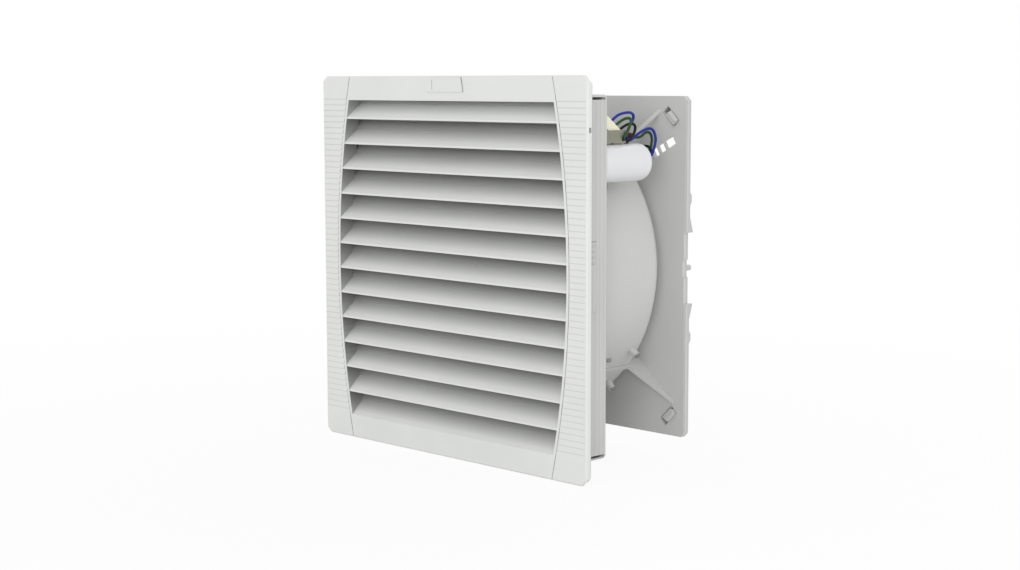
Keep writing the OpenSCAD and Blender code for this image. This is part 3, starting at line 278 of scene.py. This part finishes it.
def shingled(name, colour, roughness, grain):
    """Moulded plastic of the cover, with painted shade: darker under each shingle step and deeper in the
    louvre.
    """
    material = surface(name, colour, roughness, grain)
    tree = material.node_tree
    shader = tree.nodes["Principled BSDF"]
    place, facing = lie_of_surface(tree)

    def step(operation, *values):
        return calculate(tree, operation, *values)

    # Painted shade: a thin dark band just under each shingle step, in place of the step's shadow
    rise = step("DIVIDE", step("SUBTRACT", place["Z"], SHINGLE_FOOT), SHINGLE_PITCH)
    under = step("GREATER_THAN", step("FRACT", rise), 1 - SHINGLE_SHADE_BAND / SHINGLE_PITCH)
    tilted = step("COMPARE", facing["Z"], SHINGLE_SLOPE, SLOPE_ROOM)
    darken(tree, shader, step("MULTIPLY", under, tilted), SHINGLE_SHADE)

    # Painted shade on the sloping blades, darker towards the top of each gap, in place of its shadow
    pitches = step("DIVIDE", step("SUBTRACT", place["Z"], LIP_FOOT), LOUVRE_PITCH)
    louvre_shade_climb = step("DIVIDE", step("SUBTRACT", step("FRACT", pitches), SHADE_START_SHARE), SHADE_RUN_SHARE)
    louvre_shade_climb = step("MINIMUM", step("MAXIMUM", louvre_shade_climb, 0.0), 1.0)
    inside = step("LESS_THAN", place["Z"], OPENING_HALF_HEIGHT + OPENING_ROOM)
    sloping = step("MULTIPLY", inside, step("COMPARE", facing["Z"], BLADE_SLOPE, BLADE_SLOPE_ROOM))
    darken(tree, shader, step("MULTIPLY", louvre_shade_climb, sloping), BLADE_SHADE)
    # Painted shade on the fins behind the blades
    darken(tree, shader, step("COMPARE", facing["Z"], FIN_SLOPE, SLOPE_ROOM), FIN_SHADE)

    # Painted shade on the opening's side walls, deeper towards the top of each gap
    sideways = step("GREATER_THAN", step("ABSOLUTE", facing["X"]), SIDEWAYS)
    within = step("LESS_THAN", step("ABSOLUTE", place["X"]), OPENING_HALF_WIDTH + WALL_ROOM)
    painted_wall_shade = step("MULTIPLY_ADD", louvre_shade_climb, 1 - WALL_BASE_SHARE, WALL_BASE_SHARE)
    darken(tree, shader, step("MULTIPLY", step("MULTIPLY", sideways, within), painted_wall_shade), WALL_SHADE)
    return material


def laminated(name, colour, pitch):
    """Dark steel sheets stacked along Y."""
    material, tree, shader = new_material(name)
    shader.inputs["Roughness"].default_value = 0.5
    shader.inputs["Metallic"].default_value = 0.7
    vary_colour(tree, shader, colour, 0.2, object_noise(tree, 60, 3))
    place = tree.nodes.new("ShaderNodeTexCoord")
    wave = tree.nodes.new("ShaderNodeTexWave")
    wave.bands_direction = "Y"
    wave.inputs["Scale"].default_value = 1 / (WAVE_PER_SCALE * pitch)
    tree.links.new(place.outputs["Object"], wave.inputs["Vector"])
    add_bump(tree, shader, wave.outputs["Fac"], LAMINATION_RELIEF)
    return material


FINISH = {
    # The cover's finish carries painted shade under its shingle steps and in its louvre
    "cover_plastic": shingled("cover_plastic", linear(235, 236, 233), 0.42, PLASTIC_GRAIN),
    "frame_plastic": lined("frame_plastic", linear(209, 209, 207), 0.45, PLASTIC_GRAIN),
    "housing_plastic": surface("housing_plastic", linear(209, 209, 207), 0.45, PLASTIC_GRAIN),
    "grille_plastic": surface("grille_plastic", linear(200, 200, 198), 0.45, PLASTIC_GRAIN),
    "impeller_plastic": surface("impeller_plastic", linear(44, 44, 46), 0.42, PLASTIC_GRAIN),
    "gasket_foam": surface("gasket_foam", linear(46, 46, 46), 0.9, 0.12 * MM, 900),
    # Painted shade: the fibre is greyer than the mat's own white, to stand in for the shade it lies in
    # behind the louvre
    "filter_fibre": surface("filter_fibre", linear(186, 187, 181), 0.95, 0.5 * MM, 420, variation=0.06,
                            cloud_scale=90),
    "steel": surface("steel", linear(190, 191, 193), 0.32, 0.006 * MM, 900, 1.0, 0.06, 200),
    "rotor_steel": surface("rotor_steel", linear(128, 128, 130), 0.4, 0.006 * MM, 700, 1.0, 0.08, 120,
                           (1, 12, 1)),
    "core_steel": laminated("core_steel", linear(78, 78, 82), 0.5 * MM),
    "motor_aluminium": surface("motor_aluminium", linear(196, 196, 198), 0.5, 0.02 * MM, 1200, 0.9),
    "copper": surface("copper", linear(176, 98, 58), 0.35, 0.25 * MM, 900, 0.8, 0.12, 400),
    "capacitor_plastic": surface("capacitor_plastic", linear(235, 235, 237), 0.3),
    "bracket_zinc": surface("bracket_zinc", linear(142, 142, 128), 0.45, 0.01 * MM, 600, 0.35, 0.1, 60),
    "terminal_plastic": surface("terminal_plastic", linear(250, 247, 222), 0.35, 0.004 * MM),
    "wire_blue": surface("wire_blue", linear(22, 38, 150), 0.45),
    "wire_green": surface("wire_green", linear(28, 78, 34), 0.45),
    "wire_black": surface("wire_black", linear(14, 14, 15), 0.5),
    "sleeve_plastic": surface("sleeve_plastic", linear(92, 44, 40), 0.5),
}


def dress_nodes():
    """Gives every node of the frame the finish of its slot in the record."""
    for row in frame["record"]["subparts"]:
        mesh = nodes[row["node"]].data
        mesh.materials.clear()
        mesh.materials.append(FINISH[row["material_slot"]])


# Pieces

def mesh_piece(name, points, faces, finish, body, smooth=True):
    """A new piece from points and faces, riding on a body."""
    mesh = bpy.data.meshes.new(name)
    mesh.from_pydata([tuple(point) for point in points], [], faces)
    mesh.update()
    for polygon in mesh.polygons:
        polygon.use_smooth = smooth
    mesh.materials.append(FINISH[finish])
    piece = bpy.data.objects.new(name, mesh)
    bpy.context.scene.collection.objects.link(piece)
    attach(piece, body)
    return piece


def smooth_run(points, steps):
    """The curve through a route's points that the part's tubes follow."""
    last = len(points) - 1
    run = []
    for i in range(last):
        before, here = points[max(i - 1, 0)], points[i]
        there, after = points[i + 1], points[min(i + 2, last)]
        for k in range(steps):
            t = k / steps
            run.append(here + 0.5 * t * ((there - before)
                       + t * ((2 * before - 5 * here + 4 * there - after)
                              + t * (3 * here - before - 3 * there + after))))
    run.append(points[last])
    return run


def tube_mesh(run, radius, sides):
    """Points and faces of a round tube with domed ends."""
    points, faces = [], []
    last = len(run) - 1
    side = None
    for i, centre in enumerate(run):
        along = (run[min(i + 1, last)] - run[max(i - 1, 0)]).normalized()
        if side is None:
            side = along.cross(Vector((0, 0, 1)) if abs(along.z) < FLAT_ENOUGH else Vector((1, 0, 0)))
        side = (side - along * side.dot(along)).normalized()
        up = along.cross(side)
        for k in range(sides):
            turn = 2 * math.pi * k / sides
            points.append(centre + radius * (math.cos(turn) * side + math.sin(turn) * up))
    for i in range(last):
        for k in range(sides):
            a, b = i * sides + k, i * sides + (k + 1) % sides
            faces.append((a, b, b + sides, a + sides))
    faces.append(tuple(range(sides - 1, -1, -1)))
    faces.append(tuple(last * sides + k for k in range(sides)))
    return points, faces


# Routes in millimetres, from the frame's origin. They are the routes in the part's source.
ROUTES = {
    "wire_blue": [(127.5, 53.3, 119.1), (127.5, 56.1, 123), (127.6, 64.1, 127.9), (128, 71.2, 129.8),
                  (128.2, 78.6, 130.1), (128, 82.6, 128.2), (127.2, 83.7, 125.2), (126, 82.9, 121.6),
                  (124.6, 80.8, 116.9), (123.4, 79.5, 111.4), (122.6, 82, 107.8), (122.8, 86.1, 108),
                  (123.4, 91.6, 111.3), (124, 97.1, 114.1), (124.8, 102.4, 116.1), (126, 106, 116.7),
                  (127.4, 108.4, 114.9), (128.8, 109.1, 111.3), (130, 108.5, 107.3),
                  (131, 106.4, 103.3), (131.8, 103.7, 99.3), (131.8, 101.6, 95.6), (131.6, 97.5, 94),
                  (131.6, 93.8, 93.8), (131.6, 90.3, 93.8)],
    "wire_green": [(127.5, 58.1, 115.6), (127.5, 60.9, 119.4), (127.8, 69.2, 124), (128.8, 74.6, 125.6),
                   (130.4, 77.1, 124.8), (132, 75.3, 122.1), (133.4, 71.8, 118.3), (134.4, 68.3, 114.6),
                   (134.8, 64.7, 111.3), (133.4, 65.4, 110), (131, 66, 109), (127, 66.2, 108.8)],
    "wire_black": [(127.5, 62.9, 112), (127.5, 65.7, 115.8), (127.7, 73.6, 119.8), (128, 78.9, 121.1),
                   (128.4, 82.8, 120.6), (128.8, 84.4, 118), (129.6, 82.3, 114), (130.6, 77.7, 110),
                   (131, 73.2, 107.1), (127.8, 73.6, 106.9), (123.3, 78, 105.8), (119.3, 85, 104.2),
                   (117.5, 92, 102), (118.2, 98.4, 101.2), (121, 103.6, 102.2), (125.4, 104.5, 102),
                   (128.2, 104.4, 99.5), (129, 102, 95.2), (128.6, 98.2, 91.8), (128.4, 94, 90.2),
                   (128.4, 90.3, 90.2)],
    "wire_earth": [(118.8, 90.1, 110.2), (120.4, 92.2, 109.6), (120.8, 99.6, 109.9),
                   (121.6, 103.9, 112.6), (122.8, 107.2, 113.7), (124, 109.4, 111.6),
                   (124.2, 110.6, 107.6), (123.8, 110.4, 103.4), (123.4, 109.5, 99.7),
                   (123.4, 103.2, 96.4), (123.9, 99.2, 94.6), (124.7, 94.6, 94.2), (124.7, 90.3, 94.2)],
    "motor_lead": [(15.2, 125.6, 24.8), (16.9, 128.1, 27.5), (21.6, 129, 35.2), (34, 129, 55), (44, 129, 71),
                   (54, 128.8, 87.2), (58.1, 128.4, 93.4), (62.3, 127.4, 99), (67.2, 124.2, 104.2),
                   (72.4, 118.6, 107.6), (78, 110.8, 109.2), (88, 103.4, 110), (98, 97.6, 110),
                   (106, 93.2, 109.6), (112, 90.6, 109.6)],
}


def build_wires():
    """Smooth, round wires in the place of the faceted ones."""
    for name, route in ROUTES.items():
        radius = LEAD_RADIUS if name == "motor_lead" else WIRE_RADIUS
        run = smooth_run([Vector(point) * MM for point in route], RUN_STEPS)
        points, faces = tube_mesh(run, radius, TUBE_SIDES)
        finish = {"wire_earth": "wire_green", "motor_lead": "wire_black"}.get(name, name)
        piece = mesh_piece(f"{name}_round", points, faces, finish, "housing")
        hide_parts(name)


def build_fins():
    """Thin fins that carry each sloping blade up to just before the mat; they bear the louvre's painted
    shade, so that each gap darkens towards its top.
    """
    points, faces = [], []
    for blade in range(BLADE_COUNT + 1):
        foot = LIP_FOOT - blade * LOUVRE_PITCH
        share = min(1.0, (FIN_STOP - foot - FIN_FOOT.z) / (FIN_TOP.z - FIN_FOOT.z))
        first = len(points)
        for edge in (FIN_FOOT, FIN_FOOT.lerp(FIN_TOP, share)):
            z = foot + edge.z
            half = math.sqrt(OPENING_CURVE ** 2 - z ** 2) - OPENING_CENTRE
            for y in (edge.y - FIN_THICKNESS, edge.y):
                points += [(-half, y, z), (half, y, z)]
        faces += [tuple(first + corner for corner in face) for face in (
            (0, 1, 5, 4), (2, 6, 7, 3), (0, 4, 6, 2), (1, 3, 7, 5), (4, 5, 7, 6), (0, 2, 3, 1))]
    mesh_piece("louvre_fins", points, faces, "cover_plastic", "cover", smooth=False)


def build_filter_mat():
    """A soft fibre mat: rounded edges, a slightly uneven face and loose fibre relief."""
    low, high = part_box("filter_mat")
    half_x, half_z = (high.x - low.x) / 2 - MAT_INSET, (high.z - low.z) / 2 - MAT_INSET
    middle = (low + high) / 2

    def edge_drop(share_x, share_z):
        out = min(1 - abs(share_x), 1 - abs(share_z)) * half_x
        left = max(0.0, 1 - out / MAT_ROUND)
        return MAT_ROUND * (1 - math.sqrt(max(0.0, 1 - left * left)))

    points, faces = [], []
    for face, y, sign in ((0, low.y + MAT_INSET, 1), (1, high.y - MAT_INSET, -1)):
        for i in range(MAT_CELLS + 1):
            for j in range(MAT_CELLS + 1):
                u, v = 2 * i / MAT_CELLS - 1, 2 * j / MAT_CELLS - 1
                place = Vector((u * half_x, MAT_FACE_STEP * face, v * half_z))
                wave = 0.5 + 0.5 * noise.fractal(place * MAT_WAVE_SCALE, 1.0, 2.0, 3)
                fine = 0.5 + 0.5 * noise.noise(place * MAT_FINE_SCALE)
                swell = MAT_WAVE_SHARE * min(1, max(0, wave)) + (1 - MAT_WAVE_SHARE) * fine
                depth = edge_drop(u, v) + MAT_SAG * swell
                points.append((middle.x + u * half_x, y + sign * depth, middle.z + v * half_z))
    row = MAT_CELLS + 1
    count = row * row
    for i in range(MAT_CELLS):
        for j in range(MAT_CELLS):
            a = i * row + j
            faces.append((a, a + row, a + row + 1, a + 1))
            b = count + a
            faces.append((b, b + 1, b + row + 1, b + row))
    rim = [i * row for i in range(MAT_CELLS)]
    rim += [MAT_CELLS * row + j for j in range(MAT_CELLS)]
    rim += [i * row + MAT_CELLS for i in range(MAT_CELLS, 0, -1)]
    rim += list(range(MAT_CELLS, 0, -1))
    for a, b in zip(rim, rim[1:] + rim[:1]):
        faces.append((a, b, count + b, count + a))
    mat = mesh_piece("filter_mat_fibre", points, faces, "filter_fibre", "housing")
    bm = bmesh.new()
    bm.from_mesh(mat.data)
    bmesh.ops.recalc_face_normals(bm, faces=bm.faces)
    bm.to_mesh(mat.data)
    bm.free()
    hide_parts("filter_mat")


# Setting

def add_lamp(name, place, target, size, power):
    light = bpy.data.lights.new(name, "AREA")
    light.shape = "SQUARE"
    light.size = size
    light.energy = power
    lamp = bpy.data.objects.new(name, light)
    lamp.location = place
    lamp.rotation_euler = (Vector(target) - Vector(place)).to_track_quat("-Z", "Y").to_euler()
    bpy.context.scene.collection.objects.link(lamp)


def white_in_view(tree, shade, share):
    """Mixes a shader with plain white for what the camera, glass and polished metal see."""
    path = tree.nodes.new("ShaderNodeLightPath")
    seen = 0.0
    for ray in ("Is Camera Ray", "Is Transmission Ray", "Is Glossy Ray"):
        seen = calculate(tree, "MAXIMUM", seen, path.outputs[ray])
    amount = calculate(tree, "MULTIPLY", seen, share)
    kind = "ShaderNodeBackground" if shade.type == "BACKGROUND" else "ShaderNodeEmission"
    white = tree.nodes.new(kind)
    white.inputs["Color"].default_value = (1, 1, 1, 1)
    mix = tree.nodes.new("ShaderNodeMixShader")
    tree.links.new(amount, mix.inputs["Fac"])
    tree.links.new(shade.outputs[0], mix.inputs[1])
    tree.links.new(white.outputs[0], mix.inputs[2])
    return mix


def fading_share(tree, near, far, least):
    """A share that grows from its least value to one with the distance from the object."""
    place = tree.nodes.new("ShaderNodeTexCoord")
    away = tree.nodes.new("ShaderNodeVectorMath")
    away.operation = "LENGTH"
    tree.links.new(place.outputs["Object"], away.inputs[0])
    fade = tree.nodes.new("ShaderNodeMapRange")
    fade.interpolation_type = "SMOOTHSTEP"
    fade.inputs["From Min"].default_value = near
    fade.inputs["From Max"].default_value = far
    fade.inputs["To Min"].default_value = least
    fade.inputs["To Max"].default_value = 1.0
    tree.links.new(away.outputs["Value"], fade.inputs["Value"])
    return fade.outputs["Result"]


def build_setting():
    scene = bpy.context.scene
    world = bpy.data.worlds.new("studio")
    world.use_nodes = True
    scene.world = world
    tree = world.node_tree
    shade = tree.nodes["Background"]
    shade.inputs["Color"].default_value = (1.0, 1.0, 1.0, 1)
    shade.inputs["Strength"].default_value = WORLD_STRENGTH
    mix = white_in_view(tree, shade, 1.0)
    tree.links.new(mix.outputs[0], tree.nodes["World Output"].inputs["Surface"])

    floor_mesh = bpy.data.meshes.new("floor")
    bottom = cad_box[0][2] - FLOOR_GAP
    corners = [(FLOOR_REACH * x, FLOOR_REACH * y, bottom) for x, y in ((-1, -1), (1, -1), (1, 1), (-1, 1))]
    floor_mesh.from_pydata(corners, [], [(0, 1, 2, 3)])
    floor = bpy.data.objects.new("floor", floor_mesh)
    scene.collection.objects.link(floor)
    material, tree, shader = new_material("pale_floor")
    shader.inputs["Base Color"].default_value = FLOOR_COLOUR
    shader.inputs["Roughness"].default_value = FLOOR_ROUGHNESS
    share = fading_share(tree, FLOOR_WHITE_NEAR, FLOOR_WHITE_FAR, FLOOR_WHITE_LEAST)
    mix = white_in_view(tree, shader, share)
    tree.links.new(mix.outputs[0], tree.nodes["Material Output"].inputs["Surface"])
    floor_mesh.materials.append(material)

    for name, lamp in LAMPS.items():
        add_lamp(name, **lamp)
    scene.view_settings.view_transform = "Standard"


def build_camera():
    back = Vector((math.sin(CAMERA_AZIMUTH) * math.cos(CAMERA_ELEVATION),
                   -math.cos(CAMERA_AZIMUTH) * math.cos(CAMERA_ELEVATION), math.sin(CAMERA_ELEVATION)))
    level = Vector((math.cos(CAMERA_AZIMUTH), math.sin(CAMERA_AZIMUTH), 0))
    top = back.cross(level)
    right = level * math.cos(CAMERA_ROLL) + top * math.sin(CAMERA_ROLL)
    up = back.cross(right)
    turn = Matrix((right, up, back)).transposed()
    data = bpy.data.cameras.new("camera")
    data.sensor_width = CAMERA_SENSOR
    data.lens = CAMERA_LENS
    camera = bpy.data.objects.new("camera", data)
    camera.matrix_world = Matrix.Translation(CAMERA_PLACE) @ turn.to_4x4()
    bpy.context.scene.collection.objects.link(camera)
    bpy.context.scene.camera = camera


build_camera()
dress_nodes()
build_wires()
build_filter_mat()
build_fins()
build_setting()
